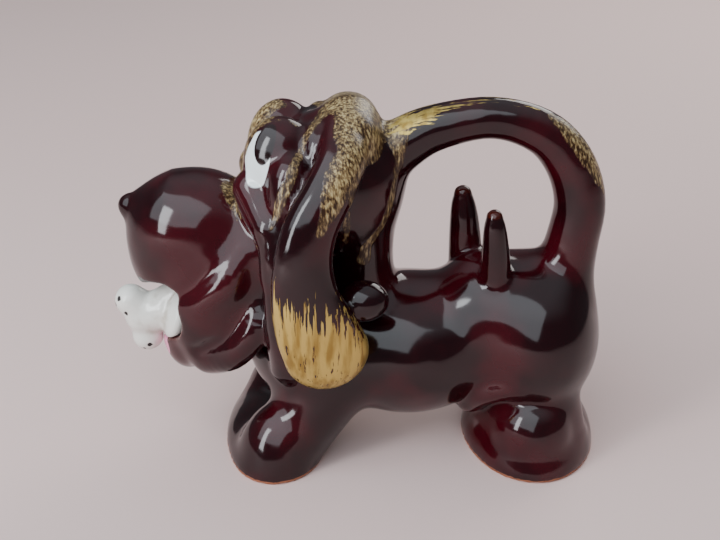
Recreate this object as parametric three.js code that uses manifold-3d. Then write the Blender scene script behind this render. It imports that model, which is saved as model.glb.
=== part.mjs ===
// A glazed ceramic hound that is a jug: a hollow slip-cast body whose tail is the handle and whose mouth
// is the spout, and a loose white bone that is the stopper of the mouth.
// Units are millimetres. The nose points along -x, the table is z = 0 and the middle plane is y = 0.
import * as THREE from "three";
import { mergeVertices } from "three/addons/utils/BufferGeometryUtils.js";
import Module from "manifold-3d";

// Driving dimensions.
// A lump is { at: centre, size: half extents }. A limb is { from, to, r: [radius at from, radius at to] }.
// The second number of a place is the distance from the middle plane, so each lump off it makes a pair.
const WALL = 5; // thickness of the cast wall
const MIDDLE = -1.6; // x of the middle of the length, moved to the origin at the end
const OUTER_CELL = 7.9; // grid cell that the outside is faceted with
const INNER_CELL = 11; // the same for the hollow
const EAR_CELL = 7.8; // the same for an ear
const SMALL_CELL = 3.7; // the same for the bone and the fingers

const TRUNK = {
  chest: { at: [-18, 0, 51], size: [34, 34, 33] },
  barrel: { at: [22, 0, 49], size: [44, 36, 33], blend: 14 },
  loin: { at: [58, 0, 60], size: [28, 29, 33], blend: 14 },
  haunch: { at: [80.5, 0, 54], size: [30, 38, 38], blend: 16 },
};
const NECK = { from: [-4, 0, 60], to: [-5, 0, 126], r: [20, 19], blend: 12 };
const HEAD = {
  skull: { at: [-13, 0, 128], size: [32, 29, 33] },
  eyeDome: { at: [-34, 12, 141], size: [16, 13.5, 21], blend: 6 },
  brow: { at: [-18, 14, 146], size: [8, 12, 14], blend: 5 },
  temple: { at: [-29, 26, 134], size: [10, 8.5, 15], blend: 6 },
  bagUnderEye: { from: [-46, 15.5, 131], to: [-38.5, 30, 119], r: [8.5, 7], blend: 6 },
  cheek: { from: [-29, 28, 129], to: [-33, 31, 114], r: [8, 8], blend: 6 },
  crown: { from: [-5, 0, 153], to: [-5, 10, 152], r: [14.5, 13.5], blend: 6 },
};
const HEAD_BLEND = 9;
const MUZZLE = {
  bridge: { at: [-73, 0, 106.5], size: [31, 26, 27] },
  snout: { at: [-86, 0, 97], size: [17.8, 20, 24.5], blend: 6 },
  nose: { from: [-87, 0, 114], to: [-102.2, 0, 117], r: [16.5, 5], blend: 9 },
  jowl: { at: [-65, 11, 74], size: [22.5, 19, 35], blend: 8 },
  chin: { at: [-79, 0, 56], size: [12.5, 18.5, 19], blend: 5 },
  jaw: { at: [-66, 0, 66], size: [17, 13, 22], blend: 8 },
  throat: { from: [-58, 0, 90], to: [-36, 0, 100], r: [28, 28], blend: 10 },
};
const MUZZLE_BLEND = 8;
// The roll of loose skin behind the muzzle: each point is a place on it and its radius there.
const CHEEK_ROLL = [
  [-47, 17, 123, 5],
  [-37, 31, 114, 7],
  [-35, 36, 94, 7.5],
  [-33.5, 35, 72, 7.5],
  [-32, 29, 52, 8],
];
const CHEEK_ROLL_BLEND = 8;
const MOUTH_NOTCH = { from: [-97, 0, 66], to: [-88.5, 15, 72.5], r: [14, 14], blend: 3 };
// A strap's point is a place, half its width and half its thickness.
const EAR = {
  points: [
    [-5, 5, 154, 12, 11],
    [-8, 27, 147, 10.5, 9.5],
    [-13.5, 36, 136, 10.8, 9],
    [-20.5, 42, 123, 11.5, 8.5],
    [-23.5, 45, 109, 12.5, 8],
    [-23, 46, 94, 14.5, 8],
    [-19.3, 45, 80, 17.2, 8.5],
    [-14.5, 43, 68, 18.6, 8.5],
  ],
  thicknessAlong: [0.15, 1, 0],
};
const TAIL = {
  points: [
    [-2, 0, 112, 15, 15],
    [8, 0, 135, 13, 13],
    [34, 0, 153.5, 10, 10],
    [57, 0, 157.5, 9, 9],
    [78, 0, 151.5, 9.8, 9.8],
    [91, 0, 138, 10.8, 10.8],
    [97.3, 0, 119, 11.4, 11.4],
    [95, 0, 98, 12, 12.5],
    [91.5, 0, 76, 14, 16],
  ],
  thicknessAlong: [0, 1, 0],
  blend: 12,
};
// The two fingers on the back aren't quite opposite each other.
const FINGER = {
  nearX: 59.5,
  farX: 48,
  nearHalfWidth: 6.3,
  farHalfWidth: 7.2,
  out: 14,
  root: 86,
  height: 31,
  lean: -2.2,
  halfThickness: [6.2, 3.6],
  taper: 0.5,
};
const EAR_KNOB = { at: [1.5, 33, 86], size: [11, 9, 9] };
// The feet of a pair stand on one low mound of clay.
const FRONT_LEG = { from: [-10, 15, 44], to: [-28, 22, 16], r: [20, 17], blend: 10 };
const FRONT_FEET = {
  mound: { at: [-40, 0, 0], size: [24, 46, 16] },
  paw: { at: [-38, 27, 3], size: [18, 18.5, 25], blend: 8 },
};
const FRONT_FEET_BLEND = 8;
const HIND_LEG = { from: [80, 14, 44], to: [91, 17, 10], r: [18, 14.5], blend: 8 };
const HIND_FEET = {
  mound: { at: [80, 0, 0], size: [31, 46, 25] },
  paw: { from: [73, 6, 17], to: [79, 24, 17], r: [18, 18.5], blend: 8 },
};
const HIND_FEET_BLEND = 6;

// The spout: a round bore through the lips, along a line that rises into the head.
const SPOUT = { mouth: [-91, 0, 67.6], rise: Math.atan2(6.6, 11), radius: 8.6, outside: 12, inside: 34 };
const BONE = {
  upperKnob: { at: [-105, 0, 69.8], size: [7.4, 7.4, 7.4] },
  lowerKnob: { at: [-98.7, 0, 51.8], size: [7.2, 7.2, 7], blend: 1 },
  stub: { from: [-100, 0, 62], to: [-89, 0, 66], r: [8.5, 10], blend: 5 },
  collar: { at: [-84.6, 0, 67], size: [4.6, 19, 15], pitch: -0.35, blend: 4 },
};
const BONE_CLEARANCE = 1.2; // between the bone and the lips
const SHANK = { radius: 8, tipRadius: 7.2, length: 22 };

// Distance fields: each is a function of (x, s, z), with s the distance from the middle plane.
function egg({ at: [cx, cs, cz], size: [rx, rs, rz], pitch = 0 }) {
  const [cos, sin] = [Math.cos(pitch), Math.sin(pitch)];
  return (x, s, z) => {
    const qx = ((x - cx) * cos + (z - cz) * sin) / rx;
    const qs = (s - cs) / rs;
    const qz = ((z - cz) * cos - (x - cx) * sin) / rz;
    const scaled = Math.hypot(qx, qs, qz) + 1e-9;
    return (scaled * (scaled - 1)) / (Math.hypot(qx / rx, qs / rs, qz / rz) + 1e-9);
  };
}

function limb({ from: [ax, as, az], to: [bx, bs, bz], r: [ra, rb] }) {
  const [dx, ds, dz] = [bx - ax, bs - as, bz - az];
  const square = dx * dx + ds * ds + dz * dz;
  return (x, s, z) => {
    const along = ((x - ax) * dx + (s - as) * ds + (z - az) * dz) / square;
    const t = Math.min(1, Math.max(0, along));
    return Math.hypot(x - ax - t * dx, s - as - t * ds, z - az - t * dz) - (ra + (rb - ra) * t);
  };
}

const lump = (sizes) => (sizes.from ? limb(sizes) : egg(sizes));

function join(a, b, blend) {
  return (x, s, z) => {
    const [p, q] = [a(x, s, z), b(x, s, z)];
    const h = Math.max(blend - Math.abs(p - q), 0) / blend;
    return Math.min(p, q) - (h * h * h * blend) / 6;
  };
}

const turned = (field) => (x, s, z) => -field(x, s, z);
const carve = (a, b, blend) => turned(join(turned(a), b, blend));

// One field from a table of lumps, each blended into the ones before it.
function joined(table) {
  return Object.values(table).reduce(
    (field, sizes) => (field ? join(field, lump(sizes), sizes.blend) : lump(sizes)),
    null,
  );
}

// Smooth rows between the given ones, by a Catmull-Rom spline in every column.
function smoothRows(rows, steps) {
  const mirror = (a, b) => a.map((v, i) => 2 * v - b[i]);
  const all = [mirror(rows[0], rows[1]), ...rows, mirror(rows.at(-1), rows.at(-2))];
  const out = [];
  for (let i = 1; i < all.length - 2; i += 1) {
    for (let j = 0; j < steps; j += 1) {
      const t = j / steps;
      const [a, b, c, d] = all.slice(i - 1, i + 3);
      out.push(
        b.map((v, k) => {
          const [p, q, r] = [
            c[k] - a[k],
            2 * a[k] - 5 * v + 4 * c[k] - d[k],
            3 * (v - c[k]) + d[k] - a[k],
          ];
          return v + 0.5 * (p * t + q * t * t + r * t * t * t);
        }),
      );
    }
  }
  out.push(rows.at(-1));
  return out;
}

function line(points) {
  const rows = smoothRows(points, 5);
  const pieces = rows.slice(1).map((to, i) => {
    const from = rows[i];
    return limb({ from: from.slice(0, 3), to: to.slice(0, 3), r: [from[3], to[3]] });
  });
  return (x, s, z) => Math.min(...pieces.map((piece) => piece(x, s, z)));
}

// A flattened tube. thicknessAlong is roughly the direction of its thin side.
function strap({ points, thicknessAlong }) {
  const rows = smoothRows(points, 5);
  const centres = rows.map((row) => new THREE.Vector3(...row));
  const thin = new THREE.Vector3(...thicknessAlong);
  const normals = centres.map((_, i) => {
    const ahead = centres[Math.min(i + 1, centres.length - 1)];
    const tangent = ahead.clone().sub(centres[Math.max(i - 1, 0)]).normalize();
    return thin.clone().addScaledVector(tangent, -thin.dot(tangent)).normalize();
  });
  const spans = centres.slice(1).map((c, i) => [
    centres[i].x,
    centres[i].y,
    centres[i].z,
    c.x - centres[i].x,
    c.y - centres[i].y,
    c.z - centres[i].z,
    c.distanceToSquared(centres[i]),
  ]);
  const mix = (a, b, t) => a + (b - a) * t;
  return (x, s, z) => {
    let best = Infinity;
    let span = 0;
    let along = 0;
    spans.forEach(([ax, as, az, dx, ds, dz, square], i) => {
      const t = Math.min(1, Math.max(0, ((x - ax) * dx + (s - as) * ds + (z - az) * dz) / square));
      const away = (x - ax - t * dx) ** 2 + (s - as - t * ds) ** 2 + (z - az - t * dz) ** 2;
      if (away < best) [best, span, along] = [away, i, t];
    });
    const [ax, as, az, dx, ds, dz] = spans[span];
    const [qx, qs, qz] = [x - ax - along * dx, s - as - along * ds, z - az - along * dz];
    const n = normals[span].clone().lerp(normals[span + 1], along).normalize();
    const across = qx * n.x + qs * n.y + qz * n.z;
    const rest = Math.max(best - across * across, 0);
    const w = mix(rows[span][3], rows[span + 1][3], along);
    const h = mix(rows[span][4], rows[span + 1][4], along);
    const scaled = Math.sqrt(rest / (w * w) + (across * across) / (h * h)) + 1e-9;
    return (scaled * (scaled - 1)) / (Math.sqrt(rest / w ** 4 + (across * across) / h ** 4) + 1e-9);
  };
}

function finger(x, halfWidth) {
  const [thick, thin] = FINGER.halfThickness;
  const rows = [0, 0.5, 0.85, 1].map((t) => [
    x + FINGER.lean * t,
    FINGER.out + t,
    FINGER.root + FINGER.height * t,
    halfWidth * (1.1 - (1.1 - FINGER.taper) * t),
    thick + (thin - thick) * t,
  ]);
  return strap({ points: rows, thicknessAlong: [0.1, 1, 0] });
}

function face() {
  let field = joined(MUZZLE);
  field = join(field, line(CHEEK_ROLL), CHEEK_ROLL_BLEND);
  return carve(field, limb(MOUTH_NOTCH), MOUTH_NOTCH.blend);
}

// The parts that the casting leaves hollow: all but the handle, the ears, the fingers and the knobs.
function hollowParts() {
  let field = join(joined(TRUNK), limb(NECK), NECK.blend);
  field = join(field, joined(HEAD), HEAD_BLEND);
  field = join(field, face(), MUZZLE_BLEND);
  const fore = join(limb(FRONT_LEG), joined(FRONT_FEET), FRONT_FEET_BLEND);
  const hind = join(limb(HIND_LEG), joined(HIND_FEET), HIND_FEET_BLEND);
  return join(join(field, fore, FRONT_LEG.blend), hind, HIND_LEG.blend);
}

function onTable(field) {
  return (x, s, z) => Math.max(field(x, s, z), -z);
}

function dogOutside() {
  const outside = onTable(join(hollowParts(), strap(TAIL), TAIL.blend));
  return (x, y, z) => outside(x, Math.abs(y), z);
}

function dogHollow() {
  const outside = onTable(hollowParts());
  return (x, y, z) => outside(x, Math.abs(y), z) + WALL;
}

function boneOutside(dog) {
  const bone = joined(BONE);
  return (x, y, z) => Math.max(bone(x, Math.abs(y), z), BONE_CLEARANCE - dog(x, y, z));
}

// Facets the part of a field in a box: one vertex in each grid cell that the surface crosses, moved onto
// the surface, and one quad across each grid edge that it crosses.
const SIDES = [0, 1, 2];

function sampled(field, from, to, cell) {
  const low = from.map((v) => v - cell);
  const count = SIDES.map((a) => Math.ceil((to[a] - low[a]) / cell) + 2);
  const stride = [1, count[0], count[0] * count[1]];
  const value = new Float64Array(stride[2] * count[2]);
  for (let k = 0; k < count[2]; k += 1)
    for (let j = 0; j < count[1]; j += 1)
      for (let i = 0; i < count[0]; i += 1)
        value[i + j * stride[1] + k * stride[2]] = field(
          low[0] + i * cell,
          low[1] + j * cell,
          low[2] + k * cell,
        );
  return { count, stride, value, low, cell };
}

function eachPoint({ count, stride }, start, visit) {
  for (let k = start[2]; k < count[2] - 1; k += 1)
    for (let j = start[1]; j < count[1] - 1; j += 1)
      for (let i = start[0]; i < count[0] - 1; i += 1)
        visit(i + j * stride[1] + k * stride[2], [i, j, k]);
}

// Where the corners of a grid square alternate between inside and outside, the outer corner nearest the
// surface is taken inside, so that no two sheets of the surface share an edge.
function settle(grid) {
  const { stride, value, cell } = grid;
  for (let changed = true; changed; ) {
    changed = false;
    eachPoint(grid, [0, 0, 0], (p) => {
      SIDES.forEach((a) => {
        const [u, v] = [stride[a], stride[(a + 1) % 3]];
        const corners = [p, p + u, p + u + v, p + v];
        const outer = corners.filter((c) => value[c] >= 0);
        if (outer.length !== 2 || corners.indexOf(outer[1]) - corners.indexOf(outer[0]) !== 2) return;
        value[value[outer[0]] < value[outer[1]] ? outer[0] : outer[1]] = -0.01 * cell;
        changed = true;
      });
    });
  }
}

function cellVertices(grid) {
  const { stride, value, low, cell } = grid;
  const places = [];
  const numberOf = new Map();
  eachPoint(grid, [0, 0, 0], (p, index) => {
    const sum = [0, 0, 0];
    let crossings = 0;
    SIDES.forEach((a) => {
      const [b, c] = [(a + 1) % 3, (a + 2) % 3];
      [0, 1, 2, 3].forEach((n) => {
        const [ub, uc] = [n & 1, n >> 1];
        const q = p + ub * stride[b] + uc * stride[c];
        const [v0, v1] = [value[q], value[q + stride[a]]];
        if (v0 < 0 === v1 < 0) return;
        sum[a] += v0 / (v0 - v1);
        sum[b] += ub;
        sum[c] += uc;
        crossings += 1;
      });
    });
    if (!crossings) return;
    numberOf.set(p, places.length);
    places.push(SIDES.map((a) => low[a] + cell * (index[a] + sum[a] / crossings)));
  });
  return { places, numberOf };
}

function quadsAcrossEdges(grid, numberOf) {
  const { stride, value } = grid;
  const quads = [];
  eachPoint(grid, [1, 1, 1], (p) => {
    SIDES.forEach((a) => {
      const inside = value[p] < 0;
      if (inside === value[p + stride[a]] < 0) return;
      const [u, v] = [stride[(a + 1) % 3], stride[(a + 2) % 3]];
      const quad = [p - u - v, p - v, p, p - u].map((c) => numberOf.get(c));
      quads.push(inside ? quad : quad.reverse());
    });
  });
  return quads;
}

function slopeOf(field, [x, y, z]) {
  const e = 0.05;
  return [
    (field(x + e, y, z) - field(x - e, y, z)) / (2 * e),
    (field(x, y + e, z) - field(x, y - e, z)) / (2 * e),
    (field(x, y, z + e) - field(x, y, z - e)) / (2 * e),
  ];
}

function ontoSurface(field, place, reach) {
  let at = place;
  for (let step = 0; step < 4; step += 1) {
    const slope = slopeOf(field, at);
    const steepness = slope.reduce((sum, v) => sum + v * v, 1e-6);
    const move = Math.max(-reach, Math.min(reach, field(...at) / Math.sqrt(steepness)));
    at = at.map((v, a) => v - (move * slope[a]) / Math.sqrt(steepness));
  }
  return at;
}

// Draws each vertex towards the middle of its neighbours, along the surface, to even out the facets.
function evenOut(field, places, quads, reach) {
  const neighbours = places.map(() => new Set());
  quads.forEach((quad) =>
    quad.forEach((v, i) => {
      neighbours[v].add(quad[(i + 1) % 4]);
      neighbours[v].add(quad[(i + 3) % 4]);
    }),
  );
  return places.map((place, v) => {
    const slope = slopeOf(field, place);
    const length = Math.hypot(...slope) + 1e-9;
    const all = [...neighbours[v]];
    const pull = SIDES.map((a) => all.reduce((sum, n) => sum + places[n][a], 0) / all.length - place[a]);
    const outward = pull.reduce((sum, d, a) => sum + (d * slope[a]) / length, 0);
    const moved = place.map((c, a) => c + 0.5 * (pull[a] - (outward * slope[a]) / length));
    return ontoSurface(field, moved, reach);
  });
}

// Each quad is cut along its shorter diagonal, unless another facet has an edge there already.
function trianglesOf(places, quads) {
  const gap = (a, b) => Math.hypot(...SIDES.map((i) => places[a][i] - places[b][i]));
  const pair = (a, b) => Math.min(a, b) * places.length + Math.max(a, b);
  const edges = new Set(quads.flatMap((quad) => quad.map((v, i) => pair(v, quad[(i + 1) % 4]))));
  return quads.flatMap(([a, b, c, d]) => {
    const first = edges.has(pair(b, d)) || (gap(a, c) < gap(b, d) && !edges.has(pair(a, c)));
    edges.add(first ? pair(a, c) : pair(b, d));
    return first ? [a, b, c, a, c, d] : [b, c, d, b, d, a];
  });
}

function faceted(field, low, high, cell) {
  const grid = sampled(field, low, high, cell);
  settle(grid);
  const { places: rough, numberOf } = cellVertices(grid);
  const quads = quadsAcrossEdges(grid, numberOf);
  let places = rough.map((place) => ontoSurface(field, place, 0.4 * cell));
  for (let round = 0; round < 2; round += 1) places = evenOut(field, places, quads, 0.3 * cell);
  const geometry = new THREE.BufferGeometry();
  geometry.setAttribute("position", new THREE.Float32BufferAttribute(places.flat(), 3));
  geometry.setIndex(trianglesOf(places, quads));
  return geometry;
}

// Cutting and joining.
const wasm = await Module();
wasm.setup();

// The geometry classes repeat vertices along their seams, so those are merged first.
function seamless(geometry) {
  const bare = geometry.clone();
  bare.deleteAttribute("normal");
  bare.deleteAttribute("uv");
  return mergeVertices(bare, 1e-4);
}

function solidOf(geometry) {
  return new wasm.Manifold(
    new wasm.Mesh({
      numProp: 3,
      vertProperties: new Float32Array(geometry.attributes.position.array),
      triVerts: new Uint32Array(geometry.index.array),
    }),
  );
}

function geometryOf(solid) {
  const { vertProperties, triVerts } = solid.getMesh();
  const geometry = new THREE.BufferGeometry();
  geometry.setAttribute("position", new THREE.BufferAttribute(vertProperties, 3));
  geometry.setIndex(new THREE.BufferAttribute(triVerts, 1));
  geometry.computeVertexNormals();
  return geometry;
}

// Turns a shape made along +y so that it points up the spout, with its y = 0 at the mouth.
function alongSpout(geometry) {
  return geometry.rotateZ(SPOUT.rise - Math.PI / 2).rotateX(Math.PI / 2).translate(...SPOUT.mouth);
}

function spoutBore() {
  const length = SPOUT.outside + SPOUT.inside;
  const bore = new THREE.CylinderGeometry(SPOUT.radius, SPOUT.radius, length, 32);
  return seamless(alongSpout(bore.translate(0, length / 2 - SPOUT.outside, 0)));
}

function shank() {
  const edge = 1.2;
  const profile = [
    [0, -8],
    [SHANK.radius, -8],
    [SHANK.radius, 2],
    [SHANK.tipRadius, SHANK.length - edge],
    [SHANK.tipRadius - edge, SHANK.length],
    [0, SHANK.length],
  ];
  return seamless(alongSpout(new THREE.LatheGeometry(profile.map((p) => new THREE.Vector2(...p)), 28)));
}

// The pieces.
const dogField = dogOutside();

function ears() {
  const ear = faceted(strap(EAR), [-46, -14, 42], [22, 64, 176], EAR_CELL);
  const far = solidOf(ear);
  return far.add(far.mirror([0, 1, 0]));
}

function earKnobs() {
  const knob = new THREE.SphereGeometry(1, 20, 12).scale(...EAR_KNOB.size).translate(...EAR_KNOB.at);
  const far = solidOf(seamless(knob));
  return far.add(far.mirror([0, 1, 0]));
}

function fingers() {
  const box = (x) => [
    [x - 14, 0, FINGER.root - 12],
    [x + 14, 30, FINGER.root + FINGER.height + 10],
  ];
  const far = faceted(finger(FINGER.farX, FINGER.farHalfWidth), ...box(FINGER.farX), SMALL_CELL);
  const near = faceted(finger(FINGER.nearX, FINGER.nearHalfWidth), ...box(FINGER.nearX), SMALL_CELL);
  return solidOf(far).add(solidOf(near).mirror([0, 1, 0]));
}

// The hollow is one space. Where a roll of skin is only just thicker than two walls it is cast solid.
function largest(solid) {
  return solid.decompose().reduce((a, b) => (b.volume() > a.volume() ? b : a));
}

function dogBody() {
  const outside = solidOf(faceted(dogField, [-116, -56, -9], [120, 56, 180], OUTER_CELL));
  const hollow = largest(solidOf(faceted(dogHollow(), [-110, -50, -4], [116, 50, 176], INNER_CELL)));
  const solidParts = ears().add(earKnobs()).add(fingers());
  return outside.add(solidParts).subtract(hollow).subtract(solidOf(spoutBore()));
}

function boneStopper() {
  const bone = solidOf(faceted(boneOutside(dogField), [-122, -22, 36], [-70, 22, 92], SMALL_CELL));
  return bone.add(solidOf(shank()));
}

function piece(name, solid, colour, roughness) {
  const material = new THREE.MeshStandardMaterial({ color: colour, roughness, metalness: 0 });
  const mesh = new THREE.Mesh(geometryOf(solid), material);
  mesh.name = name;
  return mesh;
}

const jug = new THREE.Group();
jug.position.x = -MIDDLE;
jug.add(piece("dog_body", dogBody(), 0x2a0b0c, 0.12));
jug.add(piece("bone_stopper", boneStopper(), 0xe4e2da, 0.3));

export default jug;
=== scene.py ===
"""The looks of a glazed ceramic hound that is a jug, and of the white bone that stops its mouth.

Both are modelled as distance fields in millimetres: the nose points along -x, the table is z = 0, the
middle plane is y = 0, and s is the distance from that plane. A field is negative inside.
"""

import math

import bpy
import numpy as np
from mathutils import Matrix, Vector


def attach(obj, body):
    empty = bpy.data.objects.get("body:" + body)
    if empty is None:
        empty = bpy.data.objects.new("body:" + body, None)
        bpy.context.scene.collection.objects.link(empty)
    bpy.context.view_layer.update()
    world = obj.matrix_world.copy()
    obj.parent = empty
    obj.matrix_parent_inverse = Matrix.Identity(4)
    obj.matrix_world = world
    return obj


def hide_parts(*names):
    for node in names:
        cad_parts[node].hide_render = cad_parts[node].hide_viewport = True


bl_info = {
    "name": "Ceramic hound jug",
    "version": (1, 0, 0),
    "blender": (4, 5, 0),
    "location": "3D View > Sidebar > Hound jug",
    "description": "A glazed hound jug with a bone for a stopper, on a pale table",
    "category": "Object",
}

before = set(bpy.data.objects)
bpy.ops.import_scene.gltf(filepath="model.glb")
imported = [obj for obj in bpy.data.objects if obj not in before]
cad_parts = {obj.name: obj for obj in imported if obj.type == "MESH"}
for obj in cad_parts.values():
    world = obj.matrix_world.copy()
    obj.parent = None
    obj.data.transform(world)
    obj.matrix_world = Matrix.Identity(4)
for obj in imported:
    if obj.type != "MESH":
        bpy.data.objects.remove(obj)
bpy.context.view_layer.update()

MM = 0.001
MIDDLE = -1.6  # x of the middle of the length, in millimetres, moved to the origin at the end

# Shapes, in millimetres. A lump is its centre and its half extents, and the angle of its lean in radians
# where it leans. A limb is its two ends and the radius at each.
CHEST = ((-18, 0, 51), (34, 34, 33))
BARREL = ((22, 0, 49), (44, 36, 33))
LOIN = ((58, 0, 60), (28, 29, 33))
HAUNCH = ((80.5, 0, 54), (30, 38, 38))
NECK = ((-4, 0, 60), (-5, 0, 126), 20, 19)
SKULL = ((-13, 0, 128), (32, 29, 33))
EYE_DOME = ((-34, 12, 141), (16, 13.5, 21))
BROW = ((-18, 14, 146), (8, 12, 14))
TEMPLE = ((-29, 26, 134), (10, 8.5, 15))
BAG_UNDER_EYE = ((-46, 15.5, 131), (-38.5, 30, 119), 8.5, 7)
CHEEK = ((-29, 28, 129), (-33, 31, 114), 8, 8)
CROWN = ((-5, 0, 153), (-5, 10, 152), 14.5, 13.5)
BRIDGE = ((-73, 0, 106.5), (31, 26, 27))
SNOUT = ((-86, 0, 97), (17.8, 20, 24.5))
NOSE = ((-87, 0, 114), (-102.2, 0, 117), 16.5, 5)
JOWL = ((-65, 11, 74), (22.5, 19, 35))
CHIN = ((-79, 0, 56), (12.5, 18.5, 19))
JAW = ((-66, 0, 66), (17, 13, 22))
THROAT = ((-58, 0, 90), (-36, 0, 100), 28, 28)
MOUTH_NOTCH = ((-97, 0, 66), (-88.5, 15, 72.5), 14, 14)
FRONT_LEG = ((-10, 15, 44), (-28, 22, 16), 20, 17)
FRONT_FEET = ((-40, 0, 0), (24, 46, 16))
FRONT_PAW = ((-38, 27, 3), (18, 18.5, 25))
HIND_LEG = ((80, 14, 44), (91, 17, 10), 18, 14.5)
HIND_FEET = ((80, 0, 0), (31, 46, 25))
HIND_PAW = ((73, 6, 17), (79, 24, 17), 18, 18.5)
EAR_KNOB = ((1.5, 33, 86), (11, 9, 9))
# Rolls and folds of skin: each row is a place and a radius.
CHEEK_ROLL = [
    (-47, 17, 123, 5),
    (-37, 31, 114, 7),
    (-35, 36, 94, 7.5),
    (-33.5, 35, 72, 7.5),
    (-32, 29, 52, 8),
]
LIP_FOLD = [(-54, 35.5, 110, 3), (-62, 34.5, 101, 5), (-72, 31.5, 91, 5), (-82, 25, 83, 3)]
LIP_ROLL = [(-50, 23, 104, 3), (-57, 25.5, 92, 6.5), (-68, 23.5, 80, 6.5), (-74.5, 21, 76.5, 4.5)]
JOWL_FOLD = [(-45, 37.5, 92, 3), (-49, 36.5, 79, 5), (-58, 34.5, 67, 5), (-72, 27.5, 57, 3)]
JOWL_ROLL = [(-43, 24, 84, 3), (-47, 27, 68, 6.5), (-57, 25.5, 55, 6.5), (-69, 18, 48, 4)]
PAW_LEDGE = [
    (50, 6, 21, 5),
    (51.5, 14, 24, 5),
    (57.5, 24, 34, 5),
    (65, 28.5, 39, 4.5),
    (72, 29, 38.5, 2.5),
]
PAW_GROOVE = [
    (50, 5, 13, 1.5),
    (52.5, 15, 17, 2),
    (58, 26, 27, 2.5),
    (65, 32, 32.5, 2),
    (71, 36, 33, 0.5),
]
# Straps: each row is a place, half the width and half the thickness.
EAR = [
    (-5, 5, 154, 12, 11),
    (-7, 17, 152, 11, 10),
    (-8, 27, 147, 10.5, 9.5),
    (-13.5, 36, 136, 10.8, 9),
    (-20.5, 42, 123, 11.5, 8.5),
    (-23.5, 45, 109, 12.5, 8),
    (-23, 46, 94, 14.5, 8),
    (-19.3, 45, 80, 17.2, 8.5),
    (-14.5, 43, 66.5, 18.6, 8.5),
]
TAIL = [
    (-2, 0, 112, 15, 15),
    (8, 0, 135, 13, 13),
    (19, 0, 146, 11.5, 11.5),
    (34, 0, 153.5, 10, 10),
    (57, 0, 157.5, 9, 9),
    (78, 0, 151.5, 9.8, 9.8),
    (91, 0, 138, 10.8, 10.8),
    (97.3, 0, 119, 11.4, 11.4),
    (95, 0, 98, 12, 12.5),
    (91.5, 0, 76, 14, 16),
]
# A finger is its x, half its width and the height of its tip.
NEAR_FINGER = (59.5, 6.3, 121)
FAR_FINGER = (48, 7.2, 120)
# The spout and its stopper. Distances along them are measured inwards from the mouth.
SPOUT_MOUTH = np.array((-91, 0, 67.6))
SPOUT_WAY = np.array((11, 0, 6.6)) / math.hypot(11, 6.6)
SPOUT_RADIUS = 8.6
SPOUT_START = -14
SPOUT_DEPTH = 30
BONE_UPPER_KNOB = ((-105.2, 0, 69.9), (-104, 0, 69), 7.4, 7.4)
BONE_LOWER_KNOB = ((-98.7, 0, 51.8), (7.2, 7.2, 7))
BONE_STUB = ((-100, 0, 62), (-89, 0, 66), 8.5, 10)
BONE_COLLAR = ((-82.0, 0, 66.2), (7.2, 19, 15.4), -0.35)
SHANK_RADIUS = 7.9
SHANK_START = -8
SHANK_LENGTH = 22
SEAT_GAP = 0.4  # between the flange and the lips
# Paint and glaze: runs of foam glaze and strokes of gold, each row a place and a radius.
FOAM_RUNS = [
    [
        (-30, 5, 164, 3),
        (-38, 8, 163, 5),
        (-46, 9, 157, 8),
        (-50.5, 9.5, 146, 7.5),
        (-53.5, 9, 135, 7),
        (-56, 9, 127, 4),
    ],
    [(-45, 12, 160, 5), (-38, 15, 163, 2), (-31, 15, 163, 1.8), (-25, 15, 160, 1.5), (-20, 17, 160, 0.8)],
    [
        (-56, 11, 125, 3),
        (-53.5, 16, 124, 2.4),
        (-52, 21, 119, 1.6),
        (-47, 29, 116, 1.2),
        (-43, 34, 112, 0.8),
    ],
    [(-12, 6, 165, 7), (-4, 8, 167, 8), (5, 5, 165, 8), (12, 3, 159, 7), (17, 0, 156, 6)],
    [
        (-16, 7, 162, 3),
        (-20, 17.5, 159, 2),
        (-23.3, 20.8, 153.4, 1.8),
        (-26, 27, 148.2, 1.8),
        (-28.4, 32.8, 143, 2.2),
        (-31, 34.5, 137.5, 2.4),
        (-34, 35.3, 129.3, 2),
        (-37, 36.8, 121.4, 0.8),
    ],
    [
        (-3, 13, 165, 7),
        (-4, 24, 160, 7),
        (-1, 33, 153, 8.5),
        (-6.5, 41, 146, 7.5),
        (-11.5, 46, 135, 4.8),
        (-16, 50, 124, 1.6),
    ],
    [
        (4, 17, 153, 9),
        (2, 30, 148, 5),
        (-2, 38, 141, 3.4),
        (-4.2, 37, 134, 2.6),
        (-5.3, 28, 122, 2.2),
        (-6.4, 23, 109, 0.8),
    ],
    [
        (15, 6, 156, 7),
        (17, 12, 142, 2.2),
        (14, 16, 129, 2),
        (10, 18, 115, 2),
        (4, 19, 107, 2.3),
        (2, 20, 99, 3),
    ],
]
TAIL_FOAM = [(82, 4, 159, 2), (92, 5, 151, 5.5), (102, 5, 138, 6), (107, 3, 126, 3)]
TAIL_GOLD = [
    (18, 5, 156, 4),
    (27, 5, 160.5, 3.2),
    (36, 5, 164, 1.2),
    (52, 4, 167, 0.2),
    (76, 3, 163, -0.8),
]
# The ear is gold below this edge, on its outer face, which lies further out than GOLD_INNER_SIDE.
GOLD_EDGE_X = (-34, -24, -12, -2, 4)
GOLD_EDGE_HEIGHT = (94, 88, 84, 80, 72)
GOLD_INNER_SIDE = 37
GOLD_OVERLAP = 0.8  # how far the gold laps past the ear
GOLD_CUT = 40  # how sharply the gold ends where the ear does
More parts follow.
